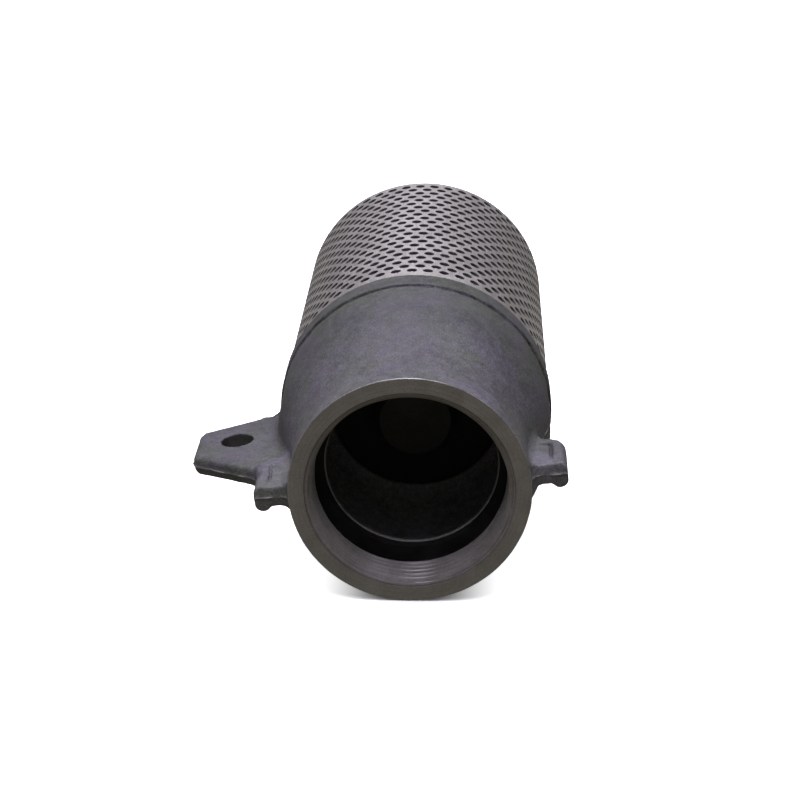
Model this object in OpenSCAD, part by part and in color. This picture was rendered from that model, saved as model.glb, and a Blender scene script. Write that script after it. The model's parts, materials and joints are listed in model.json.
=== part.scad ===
// Screwed flap foot valve with a perforated strainer.
// The valve lies on its side: +Y runs along its axis, from the mouth of the threaded socket
// (y = 0) to the far end of the strainer. +Z is up and the lifting ear points to -X.

/* [Socket] */
// Outer radius of the socket
hub_r = 34.8; // [34:0.1:38]
// Minor radius of the pipe thread
thread_r = 28.1; // [26:0.1:29]
// Radius of the mouth's countersink at the face
mouth_r = 30.3; // [30.2:0.1:31]
// Depth at which the thread runs out into its relief
thread_end = 12.8; // [11:0.1:14]
// Radius of the thread relief
relief_r = 30.9; // [30:0.1:32]
// Depth at which the relief ends and the lip starts
relief_end = 20.3; // [19:0.1:22]
// Bore radius of the lip
lip_r = 25.3; // [24:0.1:26.5]

/* [Chamber and rim] */
// Where the flare starts on the outside
flare_start = 16; // [12:0.5:18]
// Where the flare ends on the outside
flare_end = 40; // [36:0.5:44]
// Outer radius of the chamber's wall
shell_r = 41.6; // [41:0.1:42]
// Inner radius of the chamber
chamber_r = 35.5; // [35:0.1:36.5]
// Front edge of the rim band
band_start = 59.6; // [56:0.1:62]
// Outer radius of the rim band
band_r = 42.4; // [42:0.1:44]
// Rear face of the rim band
band_end = 68; // [67.5:0.1:69]

/* [Lugs and ear] */
// Distance from the axis to the outer face of the wrench lugs
lug_reach = 45.4; // [43:0.1:48]
// Front end of the lugs
lug_start = 3.9; // [2:0.1:6]
// Rear end of the lugs
lug_end = 23.5; // [18:0.5:26]
// Thickness of the lugs and the ear
plate_t = 6; // [5:0.5:8]
// Distance from the axis to the outer edge of the ear
ear_reach = 66.2; // [64:0.1:70]
// Radius of the hole in the ear
eye_r = 4.75; // [4:0.05:6]
// Distance from the axis to the hole in the ear
eye_x = 54; // [52:0.5:56]
// Position of the hole along the valve
eye_y = 41.8; // [38:0.2:44]

/* [Strainer] */
// Outer radius of the strainer
strainer_r = 41.7; // [41.5:0.1:42.3]
// Thickness of the strainer's sheet
sheet_t = 1; // [0.8:0.1:1.2]
// Overall length of the valve
valve_length = 173.4; // [150:0.1:190]

/* [Flap] */
// Radius of the rubber flap
flap_r = 26; // [24.5:0.1:26]
// Thickness of the rubber flap
flap_t = 4; // [3:0.5:4]
// Radius of the port in the seat ring
port_r = 22; // [20:0.1:22.5]
// Plane of the seat, where the flap rests
seat_y = 66.5; // [66:0.1:67]
// Height of the hinge above the valve's axis
hinge_z = 30.5; // [30.3:0.1:30.7]
// Position of the hinge along the valve
hinge_y = 62; // [61.8:0.1:62.2]
// Radius of the weight on the flap
weight_r = 12.5; // [10:0.5:13]
// Thickness of the weight
weight_t = 7; // [4:0.5:7]
// Radius of the stud that holds the flap together
stud_r = 3; // [2.5:0.5:3]

/* [Hidden] */
$fn = 96;
cut = 1;               // how far a cutter runs past the surface it cuts
edge = 0.6;            // broken edge of a machined corner
clear = 0.05;          // running or assembly clearance

countersink = 1;       // depth of the mouth's countersink
lip_end = relief_end + 1.5;
cone_end = 37;         // where the chamber reaches its full radius
bowl_start = 55;       // where the chamber's wall starts to curve in again
bowl_r = 27.5;         // radius that it curves in to, just outside the flap
shoulder_y = 66;       // shoulder that the gasket lies on
pocket_r = 37.5;       // radius of the pocket for the seat ring
spigot_r = strainer_r - sheet_t - clear;
spigot_end = 72.6;
groove_r = pocket_r + 1.4;

gasket_t = 1.5;
ring_front = shoulder_y + gasket_t;
ring_t = 3;
ring_back = ring_front + ring_t;
circlip_t = 1.2;
seat_w = 2.6;          // width of the raised seat

sheet_bracket = 1.5;   // thickness of the bracket's base
ear_in = 6;            // inner faces of the bracket's ears
ear_t = 1.6;
hinge_eye_r = 3.4;
pin_r = 1.5;
pin_half = 9.3;
clip_x = ear_in + ear_t + 0.1;
clip_t = 0.6;
clip_r = 3.2;
groove_depth = 0.3;
screw_x = 11.1;
screw_z = 29.5;
screw_r = 1.5;
base_z = [27, 32];
base_half = 13.6;

flap_front = seat_y - flap_t;
arm_t = 3;
arm_front = flap_front - arm_t;
weight_front = arm_front - weight_t;
barrel_r = 3.5;
barrel_half = 5.3;
bush_r = 2.2;
arm_half = 5;
backing_r = 16;
backing_t = 1.5;
nut_h = 5;
thread_depth = 4.5;    // depth of the stud's hole in the weight
washer_t = 1.5;
hex_r = 5.77;          // corner radius of a 10 mm hexagon

ear_mid = plate_t / 2;
flash = 0.9;           // how far the parting line stands out
flash_t = 1.2;
bead_r = 2.2;

// Turns a shape that stands on +Z so that it lies along +Y.
module along_y(y = 0) {
    translate([0, y, 0]) rotate([-90, 0, 0]) children();
}

// A ring about the valve's axis, from y = a to y = b.
module ring(inner, outer, a, b) {
    along_y(a) difference() {
        cylinder(r = outer, h = b - a);
        translate([0, 0, -cut]) cylinder(r = inner, h = b - a + 2 * cut);
    }
}

// A cylinder along X between two places.
module rod_x(r, from, to) {
    translate([from, 0, 0]) rotate([0, 90, 0]) cylinder(r = r, h = to - from);
}

// Wrench lug, drawn on the +X side: a plate with a rounded bead along its outer edge.
module lug() {
    corner = 3;
    inside = hub_r - 6;
    translate([0, 0, -plate_t / 2]) linear_extrude(plate_t) union() {
        translate([inside, lug_start]) square([lug_reach - 1 - inside, lug_end - lug_start - corner]);
        translate([inside, lug_start]) square([lug_reach - 1 - corner - inside, lug_end - lug_start]);
        translate([lug_reach - 1 - corner, lug_end - corner]) circle(r = corner);
    }
    for (side = [-1, 1])
        translate([lug_reach - bead_r, 0, side * 1.7])
            along_y(lug_start) cylinder(r = bead_r, h = lug_end - lug_start - corner);
    translate([lug_reach - 2 * bead_r, lug_start, -1.7])
        cube([2 * bead_r, lug_end - lug_start - corner, 3.4]);
}

// Outline of the lifting ear, grown by g at its free edges.
module ear_outline(g) {
    polygon([[-hub_r + 5, 8], [-lug_reach + 1, 17.8 - g], [-ear_reach + 1.2, 31 - g],
             [-ear_reach - g, 33], [-ear_reach - g, 47.6], [-ear_reach + 1.4, 50.4 + g],
             [-shell_r, 61.6 + g], [-hub_r + 5, 61.6]]);
}

module ear() {
    translate([0, 0, -ear_mid]) linear_extrude(plate_t) ear_outline(0);
    translate([0, 0, -flash_t / 2]) linear_extrude(flash_t) ear_outline(flash);
}

// Room for the hinge, at the top of the chamber's rear wall.
module hinge_pocket() {
    half = 16;
    intersection() {
        along_y(bowl_start - 3) cylinder(r = chamber_r, h = shoulder_y - bowl_start + 3 + cut);
        translate([-half, bowl_start - 3, 22]) cube([2 * half, shoulder_y - bowl_start + 4, chamber_r]);
    }
}

module body_casting() {
    bowl = [for (a = [0 : 15 : 90]) [bowl_r + (chamber_r - bowl_r) * cos(a),
                                     bowl_start + (shoulder_y - bowl_start) * sin(a)]];
    color([0.30, 0.29, 0.31]) difference() {
        union() {
            along_y() rotate_extrude() polygon([
                [0, 0], [hub_r - edge, 0], [hub_r, edge], [hub_r, flare_start],
                [shell_r - 0.2, flare_end], [shell_r, band_start], [band_r - 0.3, band_start],
                [band_r, band_start + 0.3], [band_r, band_end - 0.4], [band_r - 0.4, band_end],
                [spigot_r, band_end], [spigot_r, spigot_end], [0, spigot_end]]);
            lug();
            mirror([1, 0, 0]) lug();
            ear();
        }
        along_y() rotate_extrude() polygon([
            [0, -cut], [mouth_r, -cut], [mouth_r, 0], [thread_r, countersink],
            [thread_r, thread_end], [relief_r, thread_end], [relief_r, relief_end],
            [lip_r, relief_end], [lip_r, lip_end], [chamber_r, cone_end], each bowl,
            [pocket_r, shoulder_y], [pocket_r, ring_back - clear],
            [groove_r, ring_back - clear], [groove_r, ring_back + circlip_t + clear],
            [pocket_r, ring_back + circlip_t + clear], [pocket_r, spigot_end + cut],
            [0, spigot_end + cut]]);
        hinge_pocket();
        translate([-eye_x, eye_y, -plate_t]) cylinder(r = eye_r, h = 2 * plate_t);
    }
}

module socket_washer() {
    color([0.06, 0.06, 0.06]) ring(lip_r + 0.5, relief_r - 0.2, relief_end - 3, relief_end);
}

module seat_gasket() {
    color([0.12, 0.12, 0.12]) difference() {
        ring(bowl_r + 2.5, pocket_r - 0.1, shoulder_y, ring_front);
        translate([-base_half - 0.6, shoulder_y - cut, base_z[0] - 1])
            cube([2 * base_half + 1.2, gasket_t + 2 * cut, base_z[1] - base_z[0] + 1.5]);
    }
}

module seat_ring() {
    color([0.72, 0.60, 0.36]) difference() {
        along_y() rotate_extrude() polygon([
            [port_r, seat_y + 0.3], [port_r + 0.3, seat_y], [port_r + seat_w - 0.3, seat_y],
            [port_r + seat_w, seat_y + 0.3], [port_r + seat_w, ring_front],
            [pocket_r - 0.1, ring_front], [pocket_r - 0.1, ring_back], [port_r + 1, ring_back],
            [port_r, ring_back - 1]]);
        for (side = [-1, 1])
            translate([side * screw_x, 0, screw_z]) along_y(ring_front - cut)
                cylinder(r = screw_r, h = ring_t + 2 * cut);
    }
}

// Internal retaining ring: open at the bottom, with a lug and a plier hole at each end.
module seat_circlip() {
    gap_half = 5;
    lug_x = 7.2;
    lug_z = -34.2;
    color([0.42, 0.42, 0.44]) along_y(ring_back) difference() {
        union() {
            difference() {
                cylinder(r = groove_r - 0.1, h = circlip_t);
                translate([0, 0, -cut]) cylinder(r = pocket_r - 1.8, h = circlip_t + 2 * cut);
            }
            for (side = [-1, 1])
                translate([side * lug_x, -lug_z, 0]) cylinder(r = 2.2, h = circlip_t);
        }
        translate([-gap_half, 30, -cut]) cube([2 * gap_half, 12, circlip_t + 2 * cut]);
        for (side = [-1, 1])
            translate([side * lug_x, -lug_z, -cut]) cylinder(r = 0.9, h = circlip_t + 2 * cut);
    }
}

module hinge_bracket() {
    base_y = ring_front - sheet_bracket;
    color([0.62, 0.62, 0.64]) difference() {
        union() {
            translate([-base_half, base_y, base_z[0]])
                cube([2 * base_half, sheet_bracket, base_z[1] - base_z[0]]);
            for (side = [-1, 1]) {
                inner = side < 0 ? -ear_in - ear_t : ear_in;
                translate([0, hinge_y, hinge_z]) rod_x(hinge_eye_r, inner, inner + ear_t);
                translate([inner, hinge_y, base_z[0]])
                    cube([ear_t, base_y - hinge_y + 0.5, base_z[1] - base_z[0]]);
            }
        }
        translate([0, hinge_y, hinge_z]) rod_x(pin_r + 0.02, -base_half, base_half);
        for (side = [-1, 1])
            translate([side * screw_x, 0, screw_z]) along_y(base_y - cut)
                cylinder(r = screw_r + 0.15, h = sheet_bracket + 2 * cut);
    }
}

module bracket_screws() {
    head_t = 1.8;
    head_y = ring_front - sheet_bracket - head_t;
    color([0.70, 0.70, 0.72]) for (side = [-1, 1])
        translate([side * screw_x, 0, screw_z]) difference() {
            union() {
                along_y(head_y) cylinder(r = 2.4, h = head_t);
                along_y(head_y) cylinder(r = screw_r - clear, h = head_t + sheet_bracket + ring_t);
            }
            translate([-2, head_y - cut, -0.3]) cube([4, cut + 0.9, 0.6]);
            translate([-0.3, head_y - cut, -2]) cube([0.6, cut + 0.9, 4]);
        }
}

module hinge_pin() {
    color([0.75, 0.75, 0.77]) translate([0, hinge_y, hinge_z]) difference() {
        rod_x(pin_r, -pin_half, pin_half);
        for (side = [-1, 1])
            translate([side * (clip_x + clip_t / 2), 0, 0]) difference() {
                rod_x(pin_r + cut, -clip_t / 2 - clear, clip_t / 2 + clear);
                rod_x(pin_r - groove_depth, -clip_t, clip_t);
            }
    }
}

// E-clips in the pin's grooves, open upwards.
module pin_clips() {
    color([0.40, 0.40, 0.42]) for (side = [-1, 1])
        translate([side * (clip_x + clip_t / 2), hinge_y, hinge_z]) difference() {
            rod_x(clip_r, -clip_t / 2, clip_t / 2);
            rod_x(pin_r - groove_depth + 0.02, -clip_t, clip_t);
            translate([-clip_t, -0.9, 0]) cube([2 * clip_t, 1.8, clip_r + cut]);
            for (gap = [-1, 1])
                translate([0, gap * 1.9, -1.1]) rod_x(0.7, -clip_t, clip_t);
        }
}

module hinge_spacers() {
    washer = 0.5;
    inner = barrel_half + 0.15;
    color([0.80, 0.72, 0.50]) for (side = [-1, 1])
        translate([side < 0 ? -inner - washer : inner, hinge_y, hinge_z]) difference() {
            rod_x(hinge_eye_r - 0.2, 0, washer);
            rod_x(pin_r + 0.06, -cut, washer + cut);
        }
}

module flap_arm() {
    rib_half = 1.5;
    rib_z = [weight_r + 0.5, hinge_z - barrel_r + 0.5];
    color([0.36, 0.35, 0.36]) difference() {
        union() {
            translate([0, hinge_y, hinge_z]) rod_x(barrel_r, -barrel_half, barrel_half);
            translate([-arm_half, arm_front, 0]) cube([2 * arm_half, arm_t, hinge_z]);
            along_y(arm_front) cylinder(r = weight_r - 2, h = arm_t);
            translate([-rib_half, arm_front - 1.8, rib_z[0]])
                cube([2 * rib_half, 2.3, rib_z[1] - rib_z[0]]);
        }
        translate([0, hinge_y, hinge_z]) rod_x(bush_r, -barrel_half - cut, barrel_half + cut);
        along_y(arm_front - cut) cylinder(r = stud_r + clear, h = arm_t + 2 * cut);
    }
}

module arm_bush() {
    color([0.70, 0.52, 0.30]) translate([0, hinge_y, hinge_z]) difference() {
        rod_x(bush_r, -barrel_half - 0.1, barrel_half + 0.1);
        rod_x(pin_r + clear, -barrel_half - cut, barrel_half + cut);
    }
}

module flap_disc() {
    color([0.07, 0.07, 0.07]) along_y() rotate_extrude() polygon([
        [stud_r + clear, flap_front], [flap_r - 0.5, flap_front], [flap_r, flap_front + 0.5],
        [flap_r, seat_y - 0.3], [flap_r - 0.3, seat_y], [stud_r + clear, seat_y]]);
}

module flap_weight() {
    color([0.33, 0.32, 0.33]) along_y() rotate_extrude() polygon([
        [0, weight_front], [weight_r - 1.5, weight_front], [weight_r, weight_front + 1.5],
        [weight_r, arm_front], [stud_r + clear, arm_front], [stud_r + clear, arm_front - thread_depth],
        [0, arm_front - thread_depth]]);
}

module backing_plate() {
    color([0.62, 0.62, 0.64]) ring(stud_r + clear, backing_r, seat_y, seat_y + backing_t);
}

module flap_stud() {
    from = arm_front - thread_depth + 0.1;
    to = seat_y + backing_t + washer_t + nut_h + 1.1;
    color([0.66, 0.66, 0.68]) union() {
        along_y(from) cylinder(r = stud_r, h = to - from - 0.5);
        along_y(to - 0.5) cylinder(r1 = stud_r, r2 = stud_r - 0.5, h = 0.5);
    }
}

module lock_washer() {
    front = seat_y + backing_t;
    color([0.55, 0.55, 0.57]) difference() {
        ring(stud_r + clear, stud_r + 2.1, front, front + washer_t);
        translate([-0.4, front - cut, 0]) cube([0.8, washer_t + 2 * cut, 6]);
    }
}

module flap_nut() {
    color([0.66, 0.66, 0.68]) along_y(seat_y + backing_t + washer_t) difference() {
        cylinder(r = hex_r, h = nut_h, $fn = 6);
        translate([0, 0, -cut]) cylinder(r = stud_r + clear, h = nut_h + 2 * cut);
    }
}

module strainer_tube() {
    color([0.72, 0.71, 0.72]) ring(strainer_r - sheet_t, strainer_r, band_end, valve_length);
}

module strainer_end() {
    disc_t = 1.2;
    color([0.70, 0.69, 0.70]) along_y(valve_length - disc_t) cylinder(r = spigot_r, h = disc_t);
}

module seam_strip() {
    half_w = 6;
    color([0.62, 0.61, 0.62]) intersection() {
        ring(spigot_r - sheet_t, spigot_r, spigot_end + 1, valve_length - 2);
        translate([-half_w, 0, -strainer_r]) cube([2 * half_w, valve_length, strainer_r]);
    }
}

body_casting();
socket_washer();
seat_gasket();
seat_ring();
seat_circlip();
hinge_bracket();
bracket_screws();
hinge_pin();
pin_clips();
hinge_spacers();
flap_arm();
arm_bush();
flap_disc();
flap_weight();
backing_plate();
flap_stud();
lock_washer();
flap_nut();
strainer_tube();
strainer_end();
seam_strip();
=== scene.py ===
"""Looks of the foot valve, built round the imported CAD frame.

Shapes are worked out in millimetres on the CAD's axes: Y runs from the threaded mouth at 0 to the
strainer's end, and the lifting ear points to -X. Materials, light and camera are in metres.
"""

import json
import math

import bpy
import numpy as np
from mathutils import Matrix, Vector


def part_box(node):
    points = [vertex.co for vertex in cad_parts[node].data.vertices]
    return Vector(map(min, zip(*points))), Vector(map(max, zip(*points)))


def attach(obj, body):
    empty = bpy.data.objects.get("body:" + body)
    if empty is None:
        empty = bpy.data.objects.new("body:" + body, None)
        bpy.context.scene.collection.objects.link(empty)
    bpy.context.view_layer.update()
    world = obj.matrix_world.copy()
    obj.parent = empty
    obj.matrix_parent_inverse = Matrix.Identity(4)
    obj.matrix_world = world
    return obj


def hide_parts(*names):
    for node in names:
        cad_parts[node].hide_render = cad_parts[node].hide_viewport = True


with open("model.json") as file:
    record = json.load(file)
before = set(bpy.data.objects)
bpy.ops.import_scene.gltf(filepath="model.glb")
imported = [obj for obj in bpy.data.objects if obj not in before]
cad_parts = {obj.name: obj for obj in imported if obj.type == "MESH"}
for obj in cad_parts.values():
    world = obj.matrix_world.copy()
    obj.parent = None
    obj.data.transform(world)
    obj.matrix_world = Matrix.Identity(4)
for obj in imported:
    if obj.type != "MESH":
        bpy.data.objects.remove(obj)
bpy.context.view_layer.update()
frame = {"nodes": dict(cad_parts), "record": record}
MM = 0.001


def box_mm(node):
    """Lowest and highest corner of a CAD node, in millimetres."""
    lo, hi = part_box(node)
    return lo / MM, hi / MM


# ---------------------------------------------------------------- sizes, in millimetres
MOUNTS = {m["name"]: m for m in frame["record"]["mounts"]}
CAST_LO, CAST_HI = box_mm("body_casting")
TUBE_LO, TUBE_HI = box_mm("strainer_tube")
END_LO, END_HI = box_mm("strainer_end")
WASHER_HI = box_mm("socket_washer")[1]
RING_LO, RING_HI = box_mm("seat_ring")
CLIP_LO, CLIP_HI = box_mm("seat_circlip")
EYE = Vector(MOUNTS["lifting_eye"]["pos_m"]) / MM
EYE_R = MOUNTS["lifting_eye"]["dims"]["r_mm"]
THREAD = MOUNTS["pipe_thread"]
THREAD_END = THREAD["pos_m"][1] / MM + THREAD["dims"]["length_mm"]

# The casting's outside, from the mouth to the strainer
STUB = 2                                  # the outside starts this far ahead, and is faced off
HUB_R = 34.8
FLARE_START, FLARE_END = 16, 40
FLARE_COS = 0.965                         # turns a radial gap on the flare into a distance, nearly
BEND_ROUND = 1.3                          # rounding where the flare starts and ends
BAND_R = CAST_HI.z
BAND_END = TUBE_LO.y
BAND_START = BAND_END - 8.4
SHELL_R = BAND_R - 0.8                    # just ahead of the band
SHELL_LOW = SHELL_R - 0.2                 # where the flare ends
SPIGOT_END = CAST_HI.y                    # the spigot carries the strainer's tube
ROOT_FILLET = 3.6                         # where the lugs and the ear meet the wall
EDGE_ROUND = 0.5                          # rim of the ear's hole
RIDGE_HALF = 0.45                         # half the width of the mould's parting ridge
RIDGE_FROM_X = 20                         # the ridge shows on the hub's two sides

# Wrench lugs, one on each side
LUG_X = CAST_HI.x
LUG_FRONT, LUG_REAR = 3.9, 23.5
LUG_HALF = 3.1
LUG_ROOT_X = 25                           # well inside the wall
LUG_PLAN = [(LUG_ROOT_X, LUG_FRONT), (LUG_X - 1.2, LUG_FRONT), (LUG_X - 1.2, LUG_REAR - 4.5),
            (LUG_X - 2.4, LUG_REAR - 1.8), (LUG_X - 5.2, LUG_REAR - 0.5),
            (LUG_ROOT_X, LUG_REAR - 0.5)]
RIM_X = LUG_X - 2.5                       # the thick rim's middle line
RIM_R = 2.4
BEND_R = 3.4                              # at which the rim turns in at the lug's rear
BEND_X, BEND_Y = RIM_X - BEND_R, LUG_REAR - 2.2 - BEND_R
RIM_DROP, RIM_FLAT = 0.6, 1.6             # the rim sits a little low, and has a flat outer face
RIM_GROOVE, GROOVE_AT, GROOVE_WIDE = 1.1, 2.0, 0.42
GROOVE_FROM_Z = 1.5                       # it runs in the lug's two faces, not round its edge

# Lifting ear: its outline (x, y), and half its thickness
EAR_PLAN = [(-28, 6), (-44.5, 17.6), (-65.3, 31.0), (-66.2, 33.0),
            (-66.2, 47.6), (-65.2, 50.2), (-42, 61.6), (-28, 61.6)]
EAR_HALF = 3.0
EAR_FROM_X = -26                          # the ear's field is only worked out beyond this

# The machined and cored inside
FACING_R = 60                             # clears everything ahead of the mouth
FACE_BEVEL = 0.4
MOUTH_R = 30.3                            # countersink ahead of the thread
THREAD_R = 28.32                          # the thread's crests at the mouth
THREAD_PITCH, THREAD_DEPTH = 25.4 / 11.5, 1.35
RELIEF_R = WASHER_HI.x + 0.2
LIP_Y, LIP_R, LIP_DEPTH = WASHER_HI.y, 25.3, 0.75
CHAMBER_R, CONE_END = 35.5, 40.0
BOWL_START, BOWL_R = 42.0, 27.5           # the chamber closes in to the seat like a bowl
NOTCH_DEG, NOTCH_SOFT = 28.5, 3           # but not above the hinge
SHOULDER_Y = RING_LO.y - 0.5
POCKET_R = RING_HI.x + 0.1
GROOVE_R = CLIP_HI.x + 0.1
CLIP_PLAY = 0.05

# The perforated sheet
SHEET = 1.0
HOLE_R = 1.5
HOLE_ROWS, HOLES_ROUND = 23, 52
FIRST_ROW, ROW_STEP = 74.4, 4.303
FIRST_ANGLE = math.radians(3.58)
OUT_R, IN_R = TUBE_HI.x, TUBE_HI.x - SHEET

# Layers of noise as (height, size, seed), for the rough outside and the chamber's cored wall
CAST_GRAIN = ((0.06, 7.0, 1), (0.03, 2.3, 2), (0.025, 1.0, 3))
CORE_GRAIN = ((0.16, 5.0, 11), (0.09, 1.8, 12))

# How finely things are built
NET_STEP = 0.4
BORE_STEPS = 320
TURN_STEPS = 12
BLOCK = 4                                 # grid points on each side of a coarse block


# ---------------------------------------------------------------- mesh tools
def make_object(name, co, faces, body=None, slot=None, replaces=(), smooth=40):
    """A closed mesh object from points in millimetres and arrays of faces, one array per face size.

    A cutter names no body: it is gone before the end.
    """
    volume = sum(np.einsum("ij,ij->i", co[f[:, 0]], np.cross(co[f[:, k]], co[f[:, k + 1]])).sum()
                 for f in faces for k in range(1, f.shape[1] - 1))
    if volume < 0:
        faces = [f[:, ::-1] for f in faces]
    me = bpy.data.meshes.new(name)
    me.vertices.add(len(co))
    me.vertices.foreach_set("co", (np.asarray(co, np.float64) * MM).astype(np.float32).ravel())
    sizes = np.concatenate([np.full(len(f), f.shape[1]) for f in faces])
    loops = np.concatenate([f.ravel() for f in faces])
    me.loops.add(len(loops))
    me.loops.foreach_set("vertex_index", loops.astype(np.int32))
    me.polygons.add(len(sizes))
    starts = np.concatenate([[0], np.cumsum(sizes)[:-1]])
    me.polygons.foreach_set("loop_start", starts.astype(np.int32))
    me.update(calc_edges=True)
    me.validate()
    obj = bpy.data.objects.new(name, me)
    bpy.context.scene.collection.objects.link(obj)
    shade(obj, smooth)
    if body:
        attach(obj, body)
        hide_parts(*replaces)
    return obj


def shade(obj, angle):
    """Smooth shading, but for edges sharper than an angle in degrees."""
    me = obj.data
    me.polygons.foreach_set("use_smooth", np.ones(len(me.polygons), bool))
    me.set_sharp_from_angle(angle=math.radians(angle))


def lathe(rows, count, start=0.0):
    """Points and quads of a surface about the Y axis.

    A row is (y, r), with r a number or one value per step round. The first step is at angle start.
    """
    t = start + np.arange(count) * 2 * np.pi / count
    co = np.concatenate([np.stack([r * np.sin(t), np.full(count, float(y)), r * np.cos(t)], -1)
                         for y, r in rows])
    i, j = np.meshgrid(np.arange(len(rows) - 1), np.arange(count), indexing="ij")
    k = (j + 1) % count
    quads = [i * count + j, i * count + k, (i + 1) * count + k, (i + 1) * count + j]
    return co, np.stack(quads, -1).reshape(-1, 4)


def closed_lathe(rows, count):
    """Points and faces of a lathed surface that is closed with a fan at each end."""
    co, quads = lathe(rows, count)
    first, last = len(co), len(co) + 1
    co = np.concatenate([co, [[0, co[0][1], 0], [0, co[-1][1], 0]]])
    j = np.arange(count)
    k = (j + 1) % count
    top = (len(rows) - 1) * count
    low = np.stack([np.full(count, first), k, j], -1)
    high = np.stack([np.full(count, last), top + j, top + k], -1)
    return co, [quads, np.concatenate([low, high])]


def cut_away(obj, cutter, smooth):
    """Cuts the cutter's shape out of an object, shades it, and removes the cutter."""
    mod = obj.modifiers.new("cut", "BOOLEAN")
    mod.operation, mod.solver, mod.object = "DIFFERENCE", "MANIFOLD", cutter
    dg = bpy.context.evaluated_depsgraph_get()
    me = bpy.data.meshes.new_from_object(obj.evaluated_get(dg))
    obj.modifiers.remove(mod)
    old, obj.data = obj.data, me
    bpy.data.meshes.remove(old)
    bpy.data.objects.remove(cutter)
    shade(obj, smooth)


def face_values(me, what):
    """One row of three for each face: its center or its normal."""
    values = np.zeros(len(me.polygons) * 3)
    me.polygons.foreach_get(what, values)
    return values.reshape(-1, 3)


def lattice_noise(p, size, seed):
    """Smooth noise between -1 and 1, with features of the given size."""
    cells = 64
    rng = np.random.default_rng(seed)
    table = rng.uniform(-1, 1, (cells, cells, cells)).astype(np.float32)
    q = [np.asarray(c, np.float32) / size + 100 for c in p]
    base = [np.floor(c).astype(np.int32) for c in q]
    f = [c - b for c, b in zip(q, base)]
    f = [c * c * (3 - 2 * c) for c in f]
    total = 0
    for i in (0, 1):
        for j in (0, 1):
            for k in (0, 1):
                wx, wy, wz = (c if step else 1 - c for c, step in zip(f, (i, j, k)))
                at = tuple((b + step) % cells for b, step in zip(base, (i, j, k)))
                total = total + wx * wy * wz * table[at]
    return total


def roughen(value, p, layers):
    """A value with layers of noise on it."""
    for height, size, seed in layers:
        value = value + height * lattice_noise(p, size, seed)
    return value


# ---------------------------------------------------------------- the casting's outside
# It is a distance field, negative inside the iron, so that its parts run into each other as cast.
def smin(a, b, k):
    """The lower of two distances, blended over a fillet of size k."""
    h = np.clip(0.5 + 0.5 * (b - a) / k, 0, 1)
    return b * (1 - h) + a * h - k * h * (1 - h)


def smax(a, b, k):
    """The higher of two distances, with the edge rounded by k."""
    return -smin(-a, -b, k)


def bell(offset, width):
    """1 at no offset, falling smoothly to 0 over a few widths."""
    return np.exp(-((offset / width) ** 2))


def parting_ridge(az, height):
    """Height of the ridge that the mould's joint leaves along z = 0."""
    return height * np.clip(1 - az / RIDGE_HALF, 0, 1)


def eye_hole(x, y):
    """How deep a point is in the lifting ear's hole."""
    return EYE_R - np.hypot(x - EYE.x, y - EYE.y)


def polygon_distance(x, y, points):
    """Signed distance to a closed outline, negative inside."""
    best, sign = None, np.ones_like(x)
    n = len(points)
    for i in range(n):
        (ax, ay), (bx, by) = points[i], points[(i + 1) % n]
        ex, ey = bx - ax, by - ay
        wx, wy = x - ax, y - ay
        t = np.clip((wx * ex + wy * ey) / (ex * ex + ey * ey), 0, 1)
        d = (wx - ex * t) ** 2 + (wy - ey * t) ** 2
        best = d if best is None else np.minimum(best, d)
        c1, c2, c3 = y >= ay, y < by, ex * wy > ey * wx
        sign = np.where((c1 & c2 & c3) | (~c1 & ~c2 & ~c3), -sign, sign)
    return sign * np.sqrt(best)


def lug(ax, y, z):
    """Wrench lug with a thick rim, which turns in at the rear, and a groove along the rim."""
    az = np.abs(z)
    plate = smax(polygon_distance(ax, y, LUG_PLAN), az - LUG_HALF, 0.8)
    # Distance in plan from the rim's middle line: straight, round the bend, and in along the rear
    straight = np.hypot(ax - RIM_X, np.maximum(y - BEND_Y, 0))
    arc = np.abs(np.hypot(ax - BEND_X, y - BEND_Y) - BEND_R)
    arc = np.where((ax >= BEND_X) & (y >= BEND_Y), arc, 1e3)
    back = np.hypot(np.maximum(ax - BEND_X, 0), y - (BEND_Y + BEND_R))
    path = np.minimum(np.minimum(straight, arc), back)
    rim = np.hypot(path, np.maximum(np.abs(z + RIM_DROP) - RIM_FLAT, 0)) - RIM_R
    # The groove fades out towards the lug's front and towards the bend's end
    groove = RIM_GROOVE * bell(path - GROOVE_AT, GROOVE_WIDE) * (ax < RIM_X) * (az > GROOVE_FROM_Z)
    groove = groove * np.clip((y - LUG_FRONT - 3) / 5, 0, 1)
    groove = groove * np.clip((ax - BEND_X + 1.5) / 1.5, 0, 1)
    both = smin(plate, rim, 0.7) + groove
    return smax(both, LUG_FRONT + 0.14 * az - parting_ridge(az, 0.3) - y, 0.7)


def ear(x, y, az):
    """Lifting ear with drafted edges and a parting ridge."""
    plan = polygon_distance(x, y, EAR_PLAN)
    plan = plan - 0.6 * np.clip(1 - az / EAR_HALF, 0, 1) - parting_ridge(az, 0.25)
    plate = smax(plan, az - EAR_HALF, 1.5)
    return smax(plate, eye_hole(x, y), EDGE_ROUND)


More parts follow.
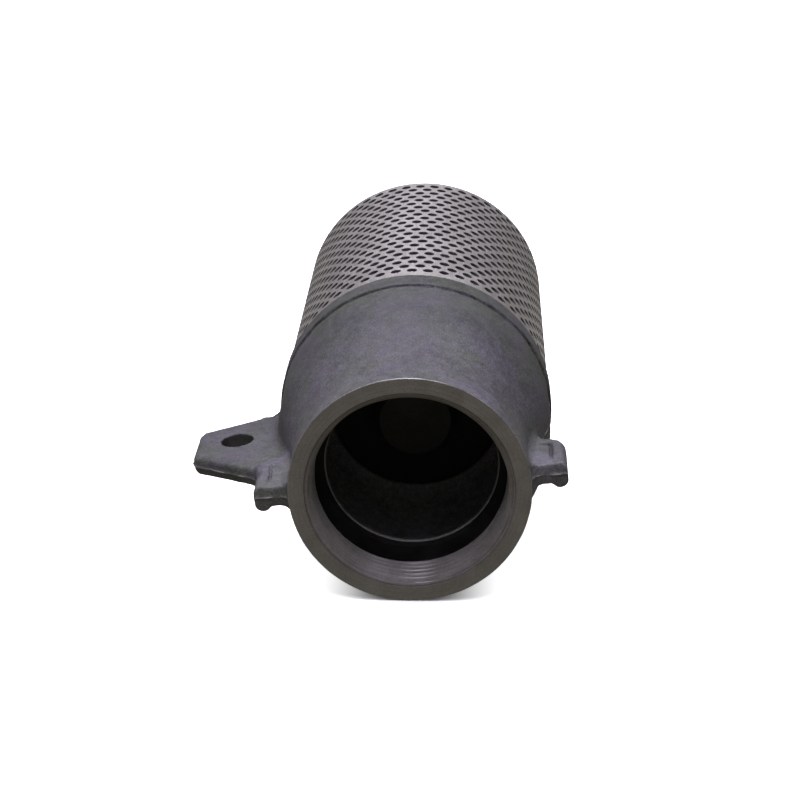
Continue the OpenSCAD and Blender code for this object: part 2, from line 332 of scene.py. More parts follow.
def casting(x, y, z, grain=True):
    """Distance field of the casting without its inside, smooth or with the grain of its surface."""
    r, az, ax = np.hypot(x, z), np.abs(z), np.abs(x)
    p = (x, y, z)
    slope = (SHELL_LOW - HUB_R) / (FLARE_END - FLARE_START)
    flare = HUB_R + (y - FLARE_START) * slope
    shell = SHELL_LOW + (y - FLARE_END) * 0.01
    side = smax(np.full_like(y, HUB_R), smin(flare, shell, BEND_ROUND), BEND_ROUND)
    d = np.maximum((r - side) * FLARE_COS, y - BAND_END + 2)
    d = d - parting_ridge(az, 0.2) * (ax > RIDGE_FROM_X)
    d = smin(d, lug(ax, y, z), ROOT_FILLET)
    left = x < EAR_FROM_X
    e = np.full_like(d, 50.0)
    e[left] = ear(x[left], y[left], az[left])
    d = np.where(left, smin(d, e, ROOT_FILLET), d)
    edge = BAND_START
    if grain:
        # The band's front edge wanders, with a crevice and a low ridge ahead of it, both broken
        d = d - roughen(0, p, CAST_GRAIN)
        wander = lattice_noise(p, 2.6, 4)
        edge = edge + 0.25 * wander
        d = d + 0.35 * bell(y - BAND_START + 0.4, 0.5) * np.clip(0.55 + wander, 0, 1)
        d = d - 0.30 * bell(y - BAND_START + 1.6, 0.5) * np.clip(0.45 - wander, 0, 1)
    band = smax(smax(r - BAND_R, edge - y, 0.9), y - BAND_END, 0.25)
    if grain:
        band = band + 0.05 - 0.025 * lattice_noise(p, 1.6, 5)
    d = smin(d, band, 0.12)
    spigot = np.maximum(r - (IN_R - 0.05), np.maximum(y - SPIGOT_END, BAND_START + 3 - y))
    d = np.minimum(d, spigot)
    d = np.maximum(d, -STUB - y)
    return smax(d, np.where(left, eye_hole(x, y), -50), EDGE_ROUND)


def untangle(values):
    """Fills the grid squares whose corners are inside and outside by turns.

    Every edge of the net then joins two faces.
    """
    square = ((0, 0), (1, 0), (0, 1), (1, 1))
    for _ in range(12):
        inside, found = values < 0, 0
        for u, v in ((0, 1), (0, 2), (1, 2)):
            cut = [[slice(None)] * 3 for _ in square]
            for n, (a, b) in enumerate(square):
                cut[n][u] = slice(a, values.shape[u] - 1 + a)
                cut[n][v] = slice(b, values.shape[v] - 1 + b)
            p, q, r, s = (inside[tuple(c)] for c in cut)
            at = np.array(np.nonzero((p == s) & (q == r) & (p != q)))
            found += at.shape[1]
            for a, b in square:
                here = at.copy()
                here[u] += a
                here[v] += b
                here = tuple(here)
                values[here] = np.minimum(values[here], -1e-3)
        if not found:
            return


def grid_axes(lo, hi, step):
    """The grid's places along each axis, padded to whole blocks."""
    axes = []
    for low, high in zip(lo, hi):
        a = (np.arange(np.floor(low / step) - 2, np.ceil(high / step) + 3) + 0.5) * step
        axes.append(np.concatenate([a, a[-1] + step * np.arange(1, -len(a) % BLOCK + 1)]))
    return axes


def grid_values(field, axes, step):
    """The field on the grid: exact near the surface, and one rough value per block elsewhere."""
    centres = [a.reshape(-1, BLOCK).mean(1) for a in axes]
    cx, cy, cz = np.meshgrid(*centres, indexing="ij")
    coarse = field(cx.ravel(), cy.ravel(), cz.ravel(), grain=False).reshape(cx.shape)
    near = np.abs(coarse) < BLOCK * step * 0.9 + 2.0
    for k in range(3):
        coarse, near = np.repeat(coarse, BLOCK, k), np.repeat(near, BLOCK, k)
    values = coarse.astype(np.float32)
    i, j, k = np.nonzero(near)
    values[i, j, k] = field(axes[0][i], axes[1][j], axes[2][k])
    return values


def surface_net(field, lo, hi, step):
    """Points and quads on a distance field's zero level, one point per cell that it crosses."""
    axes = grid_axes(lo, hi, step)
    values = grid_values(field, axes, step)
    untangle(values)
    shape = values.shape
    inside = values < 0
    corners = [(a, b, c) for a in (0, 1) for b in (0, 1) for c in (0, 1)]
    count = sum(inside[tuple(slice(a, s - 1 + a) for a, s in zip(corner, shape))].astype(np.int8)
                for corner in corners)
    i, j, k = np.nonzero((count > 0) & (count < len(corners)))
    index = np.full([s - 1 for s in shape], -1, np.int32)
    index[i, j, k] = np.arange(len(i))
    # Each cell's point is the mean of the places where its edges cross the surface
    at = {c: values[i + c[0], j + c[1], k + c[2]].astype(np.float64) for c in corners}
    total, hits = np.zeros((len(i), 3)), np.zeros(len(i))
    for a in corners:
        for axis in range(3):
            if a[axis]:
                continue
            b = tuple(1 if n == axis else a[n] for n in range(3))
            cross = (at[a] < 0) != (at[b] < 0)
            t = np.where(cross, at[a] / np.where(cross, at[a] - at[b], 1), 0)
            point = np.array(a, float)[None, :] + np.eye(3)[axis] * t[:, None]
            total += point * cross[:, None]
            hits += cross
    co = np.stack([axes[0][i], axes[1][j], axes[2][k]], -1) + step * total / hits[:, None]
    # Two pulls along the field's gradient bring the points on to the surface itself
    probe = 0.05
    for _ in range(2):
        d = field(*co.T)
        g = np.stack([(field(*(co + np.eye(3)[n] * probe).T) - d) / probe for n in range(3)], -1)
        move = -d[:, None] * g / np.maximum((g * g).sum(1), 0.2)[:, None]
        co = co + np.clip(move, -step, step)
    # A quad joins the four cells round each grid edge that has one end inside
    quads = []
    for axis in range(3):
        u, v = [n for n in range(3) if n != axis]
        a = [slice(None)] * 3
        a[axis] = slice(0, shape[axis] - 1)
        b = list(a)
        b[axis] = slice(1, shape[axis])
        first, second = inside[tuple(a)], inside[tuple(b)]
        p = np.array(np.nonzero(first != second)).T
        flip = first[tuple(p.T)]
        ids = []
        for du, dv in ((-1, -1), (0, -1), (0, 0), (-1, 0)):
            q = p.copy()
            q[:, u] += du
            q[:, v] += dv
            ids.append(index[tuple(q.T)])
        q = np.stack(ids, -1)
        if axis == 1:
            flip = ~flip
        quads.append(np.where(flip[:, None], q, q[:, ::-1]))
    return co, np.concatenate(quads)


# ---------------------------------------------------------------- the casting's inside, cut out
def bore_rows():
    """Rows (y, radius round the turn) of everything that is cut away inside the casting."""
    turn = np.arange(BORE_STEPS) / BORE_STEPS

    def thread(y):
        """A thread with flat crests and roots, on a taper of 1 in 16 on the diameter."""
        phase = np.abs(((y / THREAD_PITCH - turn) % 1) * 2 - 1)
        return THREAD_R - y / 32 + THREAD_DEPTH * np.clip(phase * 1.25 - 0.1, 0, 1)

    def as_cast(y, r):
        t = turn * 2 * np.pi
        p = (r * np.sin(t), np.full(BORE_STEPS, float(y)), r * np.cos(t))
        return y, roughen(r, p, CORE_GRAIN)

    def turned(*places):
        return [(y, np.full(BORE_STEPS, float(r))) for y, r in places]

    rows = turned((-4, FACING_R), (FACE_BEVEL, FACING_R),
                  (FACE_BEVEL, HUB_R + 0.25), (0, HUB_R - 0.25))
    for y in np.arange(0, THREAD_END, THREAD_PITCH / TURN_STEPS):
        rows.append((y, np.maximum(thread(y), MOUTH_R if y < 0.4 else MOUTH_R - 0.1 - 1.3 * y)))
    rows.append((THREAD_END, thread(THREAD_END)))
    rows += turned(
        (THREAD_END, RELIEF_R - 0.3), (THREAD_END + 0.3, RELIEF_R),
        (LIP_Y - 0.2, RELIEF_R), (LIP_Y, RELIEF_R - 0.2),
        (LIP_Y, LIP_R + 0.35), (LIP_Y + 0.12, LIP_R + 0.1), (LIP_Y + 0.3, LIP_R),
        (LIP_Y + LIP_DEPTH, LIP_R), (LIP_Y + 1.1, LIP_R + 0.3))

    # The chamber widens from the lip along a curve, and closes in to the seat, but for the notch
    from_top = np.abs((turn * 360 + 180) % 360 - 180)
    notch = np.clip((NOTCH_DEG - from_top) / NOTCH_SOFT, 0, 1)
    deep = SHOULDER_Y - BOWL_START
    places = np.concatenate([np.linspace(LIP_Y + 1.4, BOWL_START, 30),
                             BOWL_START + deep * np.sin(np.linspace(0.04, 0.5 * np.pi - 0.03, 40))])
    for y in places:
        t = (y - LIP_Y - LIP_DEPTH) / (CONE_END - LIP_Y - LIP_DEPTH)
        cone = CHAMBER_R - (CHAMBER_R - LIP_R) * max(0.0, 1 - t) ** 1.6
        bowl = math.sqrt(1 - (max(0.0, y - BOWL_START) / deep) ** 2)
        r = min(cone, BOWL_R + (CHAMBER_R - BOWL_R) * bowl)
        rows.append(as_cast(y, r + (CHAMBER_R - r) * notch * (y > BOWL_START)))

    rows.append((SHOULDER_Y, BOWL_R + (CHAMBER_R - BOWL_R) * notch))
    groove_start, groove_end = CLIP_LO.y - CLIP_PLAY, CLIP_HI.y + CLIP_PLAY
    return rows + turned(
        (SHOULDER_Y, POCKET_R), (groove_start, POCKET_R), (groove_start, GROOVE_R),
        (groove_end, GROOVE_R), (groove_end, POCKET_R),
        (SPIGOT_END - 0.3, POCKET_R), (SPIGOT_END, POCKET_R + 0.3),
        (SPIGOT_END + 1, POCKET_R + 1.3))


def make_casting():
    """The casting's outside as a fine net, with the inside cut out of it."""
    co, quads = surface_net(casting, (CAST_LO.x, -STUB, CAST_LO.z), tuple(CAST_HI), NET_STEP)
    body = make_object("casting", co, [quads], "valve_body", "iron", ["body_casting"])
    cut_away(body, make_object("bore_cutter", *closed_lathe(bore_rows(), BORE_STEPS)), smooth=38)
    return body


# ---------------------------------------------------------------- the strainer, with every hole
def make_strainer():
    """Tube of perforated sheet. Each hole has its cell, and every other row is half a cell on."""
    top, side = 8, 4                          # steps along a cell's edges
    width = 2 * np.pi * OUT_R / HOLES_ROUND
    across = np.linspace(-0.5, 0.5, top + 1)[:-1]
    along = np.linspace(-0.5, 0.5, side + 1)[:-1]
    us = np.concatenate([across, np.full(side, 0.5), -across, np.full(side, -0.5)])
    vs = np.concatenate([np.full(top, -0.5), along, np.full(top, 0.5), -along])
    n = len(us)
    edge = np.stack([us * width, vs * ROW_STEP], -1)
    angle = np.arctan2(edge[:, 1], edge[:, 0])
    circle = np.stack([np.cos(angle), np.sin(angle)], -1)
    # Rings of a cell: from its outer edge through the hole, with punched rims, to its inner edge
    rings = [
        (edge, OUT_R), (circle * (HOLE_R + 0.14), OUT_R), (circle * (HOLE_R + 0.03), OUT_R - 0.07),
        (circle * HOLE_R, OUT_R - 0.2), (circle * HOLE_R, IN_R + 0.12),
        (circle * (HOLE_R + 0.08), IN_R), (edge, IN_R)]
    co, quads = [], []
    j = np.arange(n)
    k = (j + 1) % n
    base = 0
    for row in range(HOLE_ROWS):
        y0 = FIRST_ROW + row * ROW_STEP
        for col in range(HOLES_ROUND):
            turn = FIRST_ANGLE + (col + 0.5 * (row % 2)) * 2 * math.pi / HOLES_ROUND
            for m, (plan, r) in enumerate(rings):
                t = turn + plan[:, 0] / OUT_R
                co.append(np.stack([r * np.sin(t), y0 + plan[:, 1], r * np.cos(t)], -1))
                if m:
                    a, b = base + (m - 1) * n, base + m * n
                    quads.append(np.stack([a + j, b + j, b + k, a + k], -1))
            base += len(rings) * n

    def margin(joint, end, bevel):
        """Rows of the plain sheet beyond the holes: out to the tube's end, and back inside."""
        b = abs(bevel)
        return [(joint, OUT_R), (end + bevel, OUT_R), (end, OUT_R - b),
                (end, IN_R + b), (end + bevel, IN_R), (joint, IN_R)]

    front = margin(FIRST_ROW - ROW_STEP / 2, BAND_END + 0.1, 0.12)
    rear = margin(FIRST_ROW + (HOLE_ROWS - 0.5) * ROW_STEP, TUBE_HI.y, -0.12)
    for rows in (front, rear[::-1]):
        points, faces = lathe(rows, HOLES_ROUND * top, FIRST_ANGLE - math.pi / HOLES_ROUND)
        co.append(points)
        quads.append(base + faces)
        base += len(points)
    # Neighbouring cells share their edges' points
    co, quads = np.concatenate(co), np.concatenate(quads)
    key = np.round(co / 0.002).astype(np.int64)
    _, first, back = np.unique(key, axis=0, return_index=True, return_inverse=True)
    co, quads = co[first], back.ravel()[quads]
    return make_object("strainer", co, [quads], "valve_body", "strainer_steel", ["strainer_tube"],
                       smooth=30)


def make_strainer_end():
    """Perforated end disc with eased edges."""
    r_out, y0, y1 = END_HI.x, END_LO.y, END_HI.y
    b, middle, steps = 0.15, 0.4 * r_out, 4 * HOLES_ROUND
    rows = [(y0, middle), (y0, r_out - b), (y0 + b, r_out),
            (y1 - b, r_out), (y1, r_out - b), (y1, middle)]
    co, faces = closed_lathe(rows, steps)
    disc = make_object("strainer_disc", co, faces, "valve_body", "strainer_steel", ["strainer_end"])
    pitch, margin, n = 5.0, 4.0, 20
    t = np.arange(n) * 2 * np.pi / n
    x, z = HOLE_R * np.sin(t), HOLE_R * np.cos(t)
    j = np.arange(n)
    k = (j + 1) % n
    co, walls, lows, highs = [], [], [], []
    base = 0
    for row in range(-9, 10):                 # more than fit: those past the margin are left out
        for col in range(-10, 11):
            cx, cz = (col + 0.5 * (row % 2)) * pitch, row * pitch * math.sqrt(3) / 2
            if math.hypot(cx, cz) > r_out - margin:
                continue
            for y in (y0 - 1, y1 + 1):
                co.append(np.stack([cx + x, np.full(n, y), cz + z], -1))
            walls.append(base + np.stack([j, k, n + k, n + j], -1))
            lows.append(base + j[None, ::-1])
            highs.append(base + n + j[None, :])
            base += 2 * n
    faces = [np.concatenate(walls), np.concatenate(lows + highs)]
    cut_away(disc, make_object("hole_cutter", np.concatenate(co), faces), smooth=30)
    return disc


# ---------------------------------------------------------------- materials
class Nodes:
    """A small helper that builds a node tree. A value is a socket, a number or a colour."""

    def __init__(self, tree):
        self.tree = tree

    def feed(self, socket, value):
        if isinstance(value, bpy.types.NodeSocket):
            self.tree.links.new(value, socket)
        else:
            socket.default_value = value

    def node(self, kind, **inputs):
        n = self.tree.nodes.new(kind)
        for key, value in inputs.items():
            self.feed(n.inputs[key.replace("_", " ")], value)
        return n

    def ramp(self, value, stops):
        n = self.node("ShaderNodeValToRGB", Fac=value)
        ramp = n.color_ramp
        while len(ramp.elements) < len(stops):
            ramp.elements.new(0.5)
        for e, (at, colour) in zip(ramp.elements, stops):
            e.position = at
            e.color = (*colour, 1) if isinstance(colour, tuple) else (colour, colour, colour, 1)
        return n.outputs["Color"]

    def fade(self, value, none, full):
        """0 where the value is at none, 1 where it is at full. A ramp is too coarse for this."""
        return self.node("ShaderNodeMapRange", Value=value, From_Min=none, From_Max=full).outputs[0]

    def math(self, op, a, b=0.0):
        n = self.tree.nodes.new("ShaderNodeMath")
        n.operation = op
        self.feed(n.inputs[0], a)
        self.feed(n.inputs[1], b)
        return n.outputs[0]

    def add(self, a, b):
        return self.math("ADD", a, b)

    def times(self, a, b):
        return self.math("MULTIPLY", a, b)

    def mix(self, fac, a, b, kind="MIX"):
        n = self.tree.nodes.new("ShaderNodeMix")
        n.data_type, n.blend_type = "RGBA", kind
        for i, value in ((0, fac), (6, a), (7, b)):
            self.feed(n.inputs[i], (*value, 1) if isinstance(value, tuple) else value)
        return n.outputs[2]

    def tint(self, colour, by):
        return self.mix(1.0, colour, by, "MULTIPLY")

    def dot(self, vector, direction):
        n = self.tree.nodes.new("ShaderNodeVectorMath")
        n.operation = "DOT_PRODUCT"
        self.feed(n.inputs[0], vector)
        n.inputs[1].default_value = direction
        return n.outputs["Value"]


class Mat(Nodes):
    """A material whose nodes read the place on the object, in metres on the CAD's axes."""

    def __init__(self, name, metallic=0.0, roughness=0.5):
        self.material = bpy.data.materials.new(name)
        self.material.use_nodes = True
        super().__init__(self.material.node_tree)
        self.bsdf = self.tree.nodes["Principled BSDF"]
        self.bsdf.inputs["Metallic"].default_value = metallic
        self.bsdf.inputs["Roughness"].default_value = roughness
        self.place = self.tree.nodes.new("ShaderNodeTexCoord").outputs["Object"]

    def noise(self, scale, detail, rough, distortion=0.0, vector=None):
        n = self.node("ShaderNodeTexNoise", Vector=vector or self.place, Scale=scale, Detail=detail,
                      Roughness=rough, Distortion=distortion)
        return n.outputs["Fac"]

    def bump(self, height, distance, normal=None):
        n = self.node("ShaderNodeBump", Height=height, Distance=distance, Strength=1.0)
        if normal is not None:
            self.feed(n.inputs["Normal"], normal)
        return n.outputs["Normal"]

    def xyz(self):
        return self.node("ShaderNodeSeparateXYZ", Vector=self.place).outputs

    def along(self, direction, start):
        """Distance from a start point in a direction."""
        return self.math("SUBTRACT", self.dot(self.place, direction), start.dot(direction))

    def out(self, colour, roughness=None, normal=None):
        for name, value in (("Base Color", colour), ("Roughness", roughness), ("Normal", normal)):
            if value is not None:
                self.feed(self.bsdf.inputs[name], value)
        return self.material


def cast_material(name, dark, light, speck=(0.30, 0.29, 0.30), grain=1.0, rough=(0.5, 0.68),
                  outside=False):
    """Coated grey iron: mottled, gritty, with bare specks and a rubbed parting line.

    The outside is also worn pale at the hub and greyer by the band, with painted shade in its
    crevice.
    """
    m = Mat(name)
    large = m.noise(45, 3, 0.6)
    fine = m.noise(420, 5, 0.65)
    tone = m.add(m.times(large, 0.45), m.times(fine, 0.55))
    colour = m.ramp(tone, [(0.35, dark), (0.65, light)])
    warm = m.ramp(m.noise(62, 3, 0.55, 0.6), [(0.38, 0.0), (0.62, 1.0)])
    colour = m.tint(colour, m.mix(warm, (1.04, 1.0, 1.08), (0.93, 1.0, 0.85)))
    grit = m.ramp(m.noise(1900, 2, 0.5), [(0.30, 0.72), (0.70, 1.28)])
    colour = m.tint(colour, grit)
    place = m.xyz()
    line = m.fade(m.math("ABSOLUTE", place["Z"]), 0.00030, 0.00008)
    far_out = m.fade(m.math("ABSOLUTE", place["X"]), 0.035, 0.037)
    patchy = m.ramp(m.noise(300, 2, 0.5), [(0.46, 0.0), (0.60, 0.85)])
    if outside:
        m.bsdf.inputs["Specular IOR Level"].default_value = 0.25
        worn = m.fade(place["Y"], 0.034, 0.006)
        colour = m.tint(colour, m.mix(worn, (0.93, 0.93, 0.93), (1.32, 1.31, 1.32)))
        greyer = m.fade(place["Y"], 0.046, 0.056)
        colour = m.tint(colour, m.mix(greyer, (1.0, 1.0, 1.0), (0.99, 1.02, 0.94)))
        # Painted shade: the crevice just ahead of the band is darkened, in broken patches.
        crevice = m.math("ABSOLUTE", m.math("SUBTRACT", place["Y"], (BAND_START - 0.3) * MM))
        crevice_shade = m.ramp(m.noise(140, 3, 0.6), [(0.40, 0.4), (0.60, 0.95)])
        crevice_shade = m.times(m.fade(crevice, 0.0010, 0.0003), crevice_shade)
        colour = m.mix(crevice_shade, colour, (0.020, 0.019, 0.020))
    colour = m.mix(m.times(m.times(line, far_out), patchy), colour, speck)
    chips = m.ramp(m.noise(2300, 2, 0.5), [(0.735, 0.0), (0.77, 1.0)])
    spots = m.ramp(m.noise(90, 2, 0.5), [(0.56, 0.0), (0.66, 1.0)])
    colour = m.mix(m.times(chips, spots), colour, speck)
    normal = m.bump(m.noise(900, 4, 0.6), 0.00022 * grain)
    normal = m.bump(m.noise(2600, 2, 0.5), 0.00007 * grain, normal)
    return m.out(colour, m.ramp(fine, [(0.35, rough[0]), (0.7, rough[1])]), normal)


def turned_material(name, dark, light, metallic=0.0, rough=(0.42, 0.6), along_y=False):
    """A machined surface: fine tool marks round the axis, on a face or along a bore, with painted
    shade in its hollows.
    """
    m = Mat(name, metallic)
    place = m.xyz()
    radius = m.math("SQRT", m.add(m.times(place["X"], place["X"]), m.times(place["Z"], place["Z"])))
    where = m.node("ShaderNodeCombineXYZ", X=place["Y"] if along_y else radius).outputs[0]
    marks = m.noise(2900, 2, 0.6, vector=where)
    wide = m.noise(900, 2, 0.5, vector=where)
    patch = m.noise(110, 5, 0.65)
    grit = m.noise(1500, 3, 0.6)
    tone = m.add(m.add(m.times(patch, 0.4), m.times(marks, 0.3)), m.times(grit, 0.3))
    colour = m.ramp(tone, [(0.40, dark), (0.60, light)])
    # Painted shade: hollows such as the thread's roots are darkened by their pointiness.
    pointed = m.node("ShaderNodeNewGeometry").outputs["Pointiness"]
    colour = m.tint(colour, m.ramp(pointed, [(0.42, 0.25), (0.5, 1.0)]))
    normal = m.bump(m.add(marks, m.times(wide, 0.8)), 0.00006)
    return m.out(colour, m.ramp(patch, [(0.35, rough[0]), (0.65, rough[1])]), normal)


def sheet_material(name, dark, light, rough=(0.34, 0.5), metallic=1.0):
    """Rolled steel: clouded, with a fine grain along the valve."""
    m = Mat(name, metallic)
    cloud = m.noise(60, 4, 0.6)
    fine = m.noise(1400, 3, 0.6)
    stretched = m.node("ShaderNodeMapping", Vector=m.place, Scale=(3000, 120, 3000))
    rolled = m.noise(1.0, 2, 0.5, vector=stretched.outputs[0])
    colour = m.ramp(m.add(m.times(cloud, 0.5), m.times(rolled, 0.5)), [(0.36, dark), (0.64, light)])
    normal = m.bump(rolled, 0.00002, m.bump(fine, 0.00002))
    return m.out(colour, m.ramp(fine, [(0.35, rough[0]), (0.65, rough[1])]), normal)


def rubber_material(name, base, gloss):
    """Dusty black rubber or coating."""
    m = Mat(name)
    m.bsdf.inputs["Specular IOR Level"].default_value = gloss
    dust = m.noise(140, 5, 0.6)
    colour = m.ramp(dust, [(0.40, base), (0.75, (base * 2.4, base * 2.3, base * 2.2))])
    normal = m.bump(m.noise(1800, 3, 0.6), 0.00006)
    return m.out(colour, m.ramp(dust, [(0.4, 0.52), (0.7, 0.75)]), normal)


CAST = cast_material("cast_coat", (0.046, 0.0445, 0.0465), (0.094, 0.0915, 0.094), outside=True)
# The chamber's rough cored iron; its colour is raised well above the coat's as painted light,
# standing in for light reaching into the chamber
CAST_IN = cast_material("cast_inner_painted_light", (0.125, 0.124, 0.120), (0.235, 0.231, 0.224),
                        grain=1.8, rough=(0.5, 0.7))
# Painted shade: a near-black copy of the cast iron for the inside of the ear's hole
CAST_HOLE = cast_material("cast_hole_painted_shade", (0.020, 0.020, 0.018), (0.040, 0.040, 0.036),
                          speck=(0.05, 0.05, 0.05))
# Painted shade: a darker copy of the cast coat for the flap's arm, deep in the chamber
ARM = cast_material("arm_iron", (0.030, 0.029, 0.031), (0.055, 0.053, 0.056))
FACE = turned_material("machined_face", (0.100, 0.093, 0.076), (0.155, 0.144, 0.119))
THREAD_CUT = turned_material("machined_thread", (0.084, 0.077, 0.069), (0.139, 0.129, 0.122),
                             along_y=True, rough=(0.3, 0.45))
# The bare turned chamfer round the face, made bright and partly metallic as a painted highlight
# along the edge
EDGE = turned_material("turned_edge_and_highlight", (0.08, 0.076, 0.07), (0.30, 0.285, 0.27),
                       metallic=0.5, rough=(0.3, 0.45))
RING = turned_material("turned_iron", (0.050, 0.048, 0.046), (0.085, 0.082, 0.078),
                       metallic=0.4, rough=(0.35, 0.5))
BRONZE = turned_material("bronze", (0.36, 0.22, 0.11), (0.46, 0.30, 0.16),
                         metallic=1.0, rough=(0.3, 0.45), along_y=True)
SHEET_OUT = sheet_material("perforated_sheet", (0.575, 0.543, 0.505), (0.80, 0.760, 0.708))
# Painted shade: a near-black, dull copy of the sheet for the tube's inside, the holes' walls and
# their rims
SHEET_IN = sheet_material("sheet_inside_painted_shade", (0.020, 0.019, 0.018), (0.040, 0.038, 0.036),
                          metallic=0.0, rough=(0.6, 0.8))
STEEL = sheet_material("bright_steel", (0.40, 0.40, 0.41), (0.52, 0.52, 0.53), rough=(0.25, 0.42))
SPRING = sheet_material("spring_steel", (0.06, 0.06, 0.065), (0.10, 0.10, 0.105), rough=(0.3, 0.45))
RUBBER = rubber_material("rubber", 0.009, 0.25)
COATED = rubber_material("coated_weight", 0.014, 0.35)
SEAL = rubber_material("seal_rubber", 0.005, 0.15)


# ---------------------------------------------------------------- pieces and their materials
def set_materials(obj, materials, index=None):
    """Gives an object its materials, and each face the index of its own."""
    me = obj.data
    me.materials.clear()
    for material in materials:
        me.materials.append(material)
    if index is not None:
        me.polygons.foreach_set("material_index", index.astype(np.int32))


def paint_casting(obj):
    """Tells the casting's rough and machined faces apart by where they are."""
    me = obj.data
    centre, normal = face_values(me, "center") / MM, face_values(me, "normal")
    x, y, z = centre.T
    r = np.hypot(x, z)
    faced = normal[:, 1] < -0.3
    coat, inner, machined, threaded, bevel, hole = range(6)
    kind = np.full(len(r), coat)
    kind[(y < 0.7) & faced & (r > MOUTH_R - 0.3)] = machined
    # The chamfer at the hub's edge: bare turned metal, with a painted highlight
    kind[(y < 0.5) & faced & (r > HUB_R - 0.35) & (r < HUB_R + 0.5)] = bevel
    kind[(r < RELIEF_R + 0.4) & (y > 0.005) & (y < LIP_Y + 0.8)] = threaded
    # The chamber's wall takes the lighter inner copy, which is painted light
    kind[(r < CHAMBER_R + 0.7) & (y >= LIP_Y + 0.8)] = inner
    kind[(r < GROOVE_R + 0.3) & (y >= SHOULDER_Y - 0.05)] = machined
    kind[y > BAND_END + 0.02] = machined
    # Painted shade: the ear's hole takes the near-black copy of the iron
    kind[(np.hypot(x - EYE.x, y - EYE.y) < EYE_R + 0.3) & (np.abs(z) < EAR_HALF - 0.3)] = hole
    set_materials(obj, (CAST, CAST_IN, FACE, THREAD_CUT, EDGE, CAST_HOLE), kind)


paint_casting(make_casting())
strainer = make_strainer()
sheet_x, _, sheet_z = (face_values(strainer.data, "center") / MM).T
# Painted shade: all but the sheet's flat outer faces take the near-black copy
set_materials(strainer, (SHEET_OUT, SHEET_IN), np.hypot(sheet_x, sheet_z) < OUT_R - 0.02)
set_materials(make_strainer_end(), (SHEET_OUT,))

LOOKS = {
    "socket_washer": SEAL, "seat_gasket": RUBBER, "seat_ring": RING, "seat_circlip": SPRING,
    "hinge_bracket": STEEL, "bracket_screws": STEEL, "hinge_pin": STEEL, "pin_clips": SPRING,
    "hinge_spacers": BRONZE, "flap_arm": ARM, "arm_bush": BRONZE, "flap_disc": RUBBER,
    "flap_weight": COATED, "backing_plate": STEEL, "flap_stud": STEEL, "lock_washer": SPRING,
    "flap_nut": STEEL, "seam_strip": SHEET_OUT,
}
for name, material in LOOKS.items():
    set_materials(frame["nodes"][name], (material,))

# ---------------------------------------------------------------- stage, light and camera
# The valve lies nose down, on the mouth's lower edge and on the band, rolled a little to one side.
dip = math.atan2(BAND_R - HUB_R, BAND_START)
roll = math.radians(5.8)
up = Vector((math.sin(roll) * math.cos(dip), math.sin(dip), math.cos(roll) * math.cos(dip)))
touch = Vector((-math.sin(roll) * HUB_R, 0, -math.cos(roll) * HUB_R)) * MM
side = Vector((0, 1, 0)).cross(up).normalized()
ahead = up.cross(side).normalized()
WHITE = (1.0, 1.0, 1.0)


def make_floor():
    """A floor that curves up into a backdrop far behind the valve."""
    half, wall_at, curve_r, wall_top = 9.0, 2.2, 1.5, 5.0
    line = [(-half, 0.0), (wall_at, 0.0)]
    line += [(wall_at + curve_r * math.sin(a), curve_r - curve_r * math.cos(a))
             for a in np.linspace(0.1, 0.5 * math.pi, 12)]
    line += [(wall_at + curve_r, wall_top)]
    verts = [touch + side * w + ahead * a + up * h for a, h in line for w in (-half, half)]
    me = bpy.data.meshes.new("floor")
    strips = [(2 * i, 2 * i + 1, 2 * i + 3, 2 * i + 2) for i in range(len(line) - 1)]
    me.from_pydata(verts, [], strips)
    me.polygons.foreach_set("use_smooth", [True] * len(me.polygons))
    floor = bpy.data.objects.new("floor", me)
    bpy.context.scene.collection.objects.link(floor)
    # The photo is a cut-out: the floor throws no light on the valve and isn't reflected in it
    floor.visible_diffuse = floor.visible_glossy = False
    m = Mat("floor_white", roughness=0.9)
    m.bsdf.inputs["Specular IOR Level"].default_value = 0.0
    m.bsdf.inputs["Emission Color"].default_value = (*WHITE, 1)
    me.materials.append(m.out(m.ramp(m.noise(3, 2, 0.5), [(0.3, 0.86), (0.7, 0.88)])))
    # A white glow hides all shadow but the one close under the valve
    valve_length, spare, none_at, full_at = 0.175, 0.010, 0.006, 0.030
    across = m.math("ABSOLUTE", m.along(side, touch))
    forward = m.along(ahead, touch)
    past = m.math("MAXIMUM", m.times(forward, -2.0), m.math("SUBTRACT", forward, valve_length))
    past = m.math("MAXIMUM", m.add(past, spare), 0.0)
    clear = m.math("SQRT", m.add(m.times(across, across), m.times(past, past)))
    glow = m.node("ShaderNodeMapRange", Value=clear, From_Min=none_at, From_Max=full_at)
    glow.interpolation_type = "SMOOTHSTEP"
    m.feed(m.bsdf.inputs["Emission Strength"], glow.outputs[0])


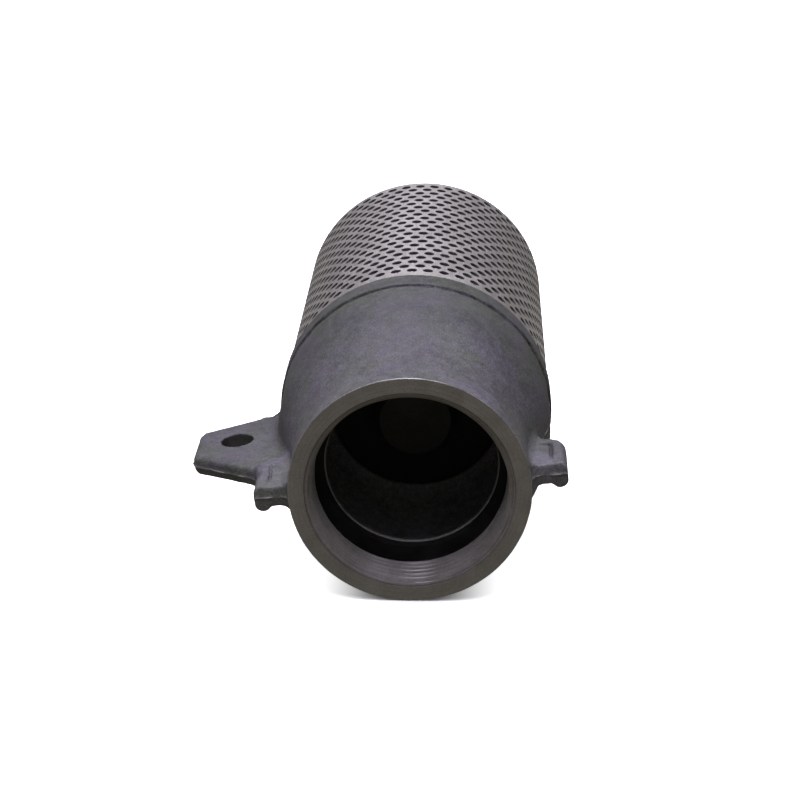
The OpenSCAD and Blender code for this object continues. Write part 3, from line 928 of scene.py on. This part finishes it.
def make_world():
    """A soft gradient lights the valve. The camera itself sees plain white beyond the floor."""
    world = bpy.data.worlds.new("studio")
    bpy.context.scene.world = world
    world.use_nodes = True
    sky = Nodes(world.node_tree)
    height = sky.dot(sky.node("ShaderNodeTexCoord").outputs["Generated"], up)
    below, middle, above = (0.30, 0.285, 0.235), (0.085, 0.084, 0.080), (0.58, 0.575, 0.66)
    gradient = sky.ramp(sky.fade(height, -0.5, 0.8), [(0.0, below), (0.60, middle), (1.0, above)])
    seen = sky.mix(sky.node("ShaderNodeLightPath").outputs["Is Camera Ray"], gradient, WHITE)
    background = sky.tree.nodes["Background"]
    sky.feed(background.inputs["Color"], seen)
    background.inputs["Strength"].default_value = 1.0


def softbox(name, location, target, size, power, colour):
    """An area light of a width and a length, turned to a target."""
    light = bpy.data.lights.new(name, "AREA")
    light.shape = "RECTANGLE"
    light.size, light.size_y = size
    light.energy, light.color = power, colour
    obj = bpy.data.objects.new(name, light)
    bpy.context.scene.collection.objects.link(obj)
    obj.location = location
    obj.rotation_mode = "QUATERNION"
    obj.rotation_quaternion = (Vector(target) - Vector(location)).to_track_quat("-Z", "Y")
    return light


def make_camera():
    """The photo's viewpoint, looking down into the mouth with the camera tilted a little."""
    data = bpy.data.cameras.new("camera")
    data.sensor_width, data.lens = 36, 88.17
    data.clip_start, data.clip_end = 0.01, 50
    camera = bpy.data.objects.new("camera", data)
    bpy.context.scene.collection.objects.link(camera)
    yaw, elevation, tilt = (math.radians(a) for a in (4.595, 21.761, -6.53))
    level = Vector((math.cos(yaw), math.sin(yaw), 0))
    back = Vector((math.sin(yaw) * math.cos(elevation), -math.cos(yaw) * math.cos(elevation),
                   math.sin(elevation)))
    above = back.cross(level)
    right = level * math.cos(tilt) + above * math.sin(tilt)
    upward = above * math.cos(tilt) - level * math.sin(tilt)
    turned = Matrix((right, upward, back)).transposed().to_4x4()
    camera.matrix_world = Matrix.Translation((0.04093, -0.50567, 0.23086)) @ turned
    bpy.context.scene.camera = camera


make_floor()
make_world()
softbox("overhead", (0.03, -0.05, 2.2), (0.02, 0.05, 0), (0.7, 2.8), 86, (0.975, 0.94, 1.12))
for name, x, y in (("wash_back", 0, 3.4), ("wash_front", 0, -3.6), ("wash_left", -3.4, 0),
                   ("wash_right", 3.4, 0)):
    wash = softbox(name, (x, y, 2.6), (x, y, 0), (2.6, 2.6), 60, (1.0, 1.0, 0.88))
    wash.spread = math.radians(80)
make_camera()
bpy.context.scene.view_settings.view_transform = "Standard"
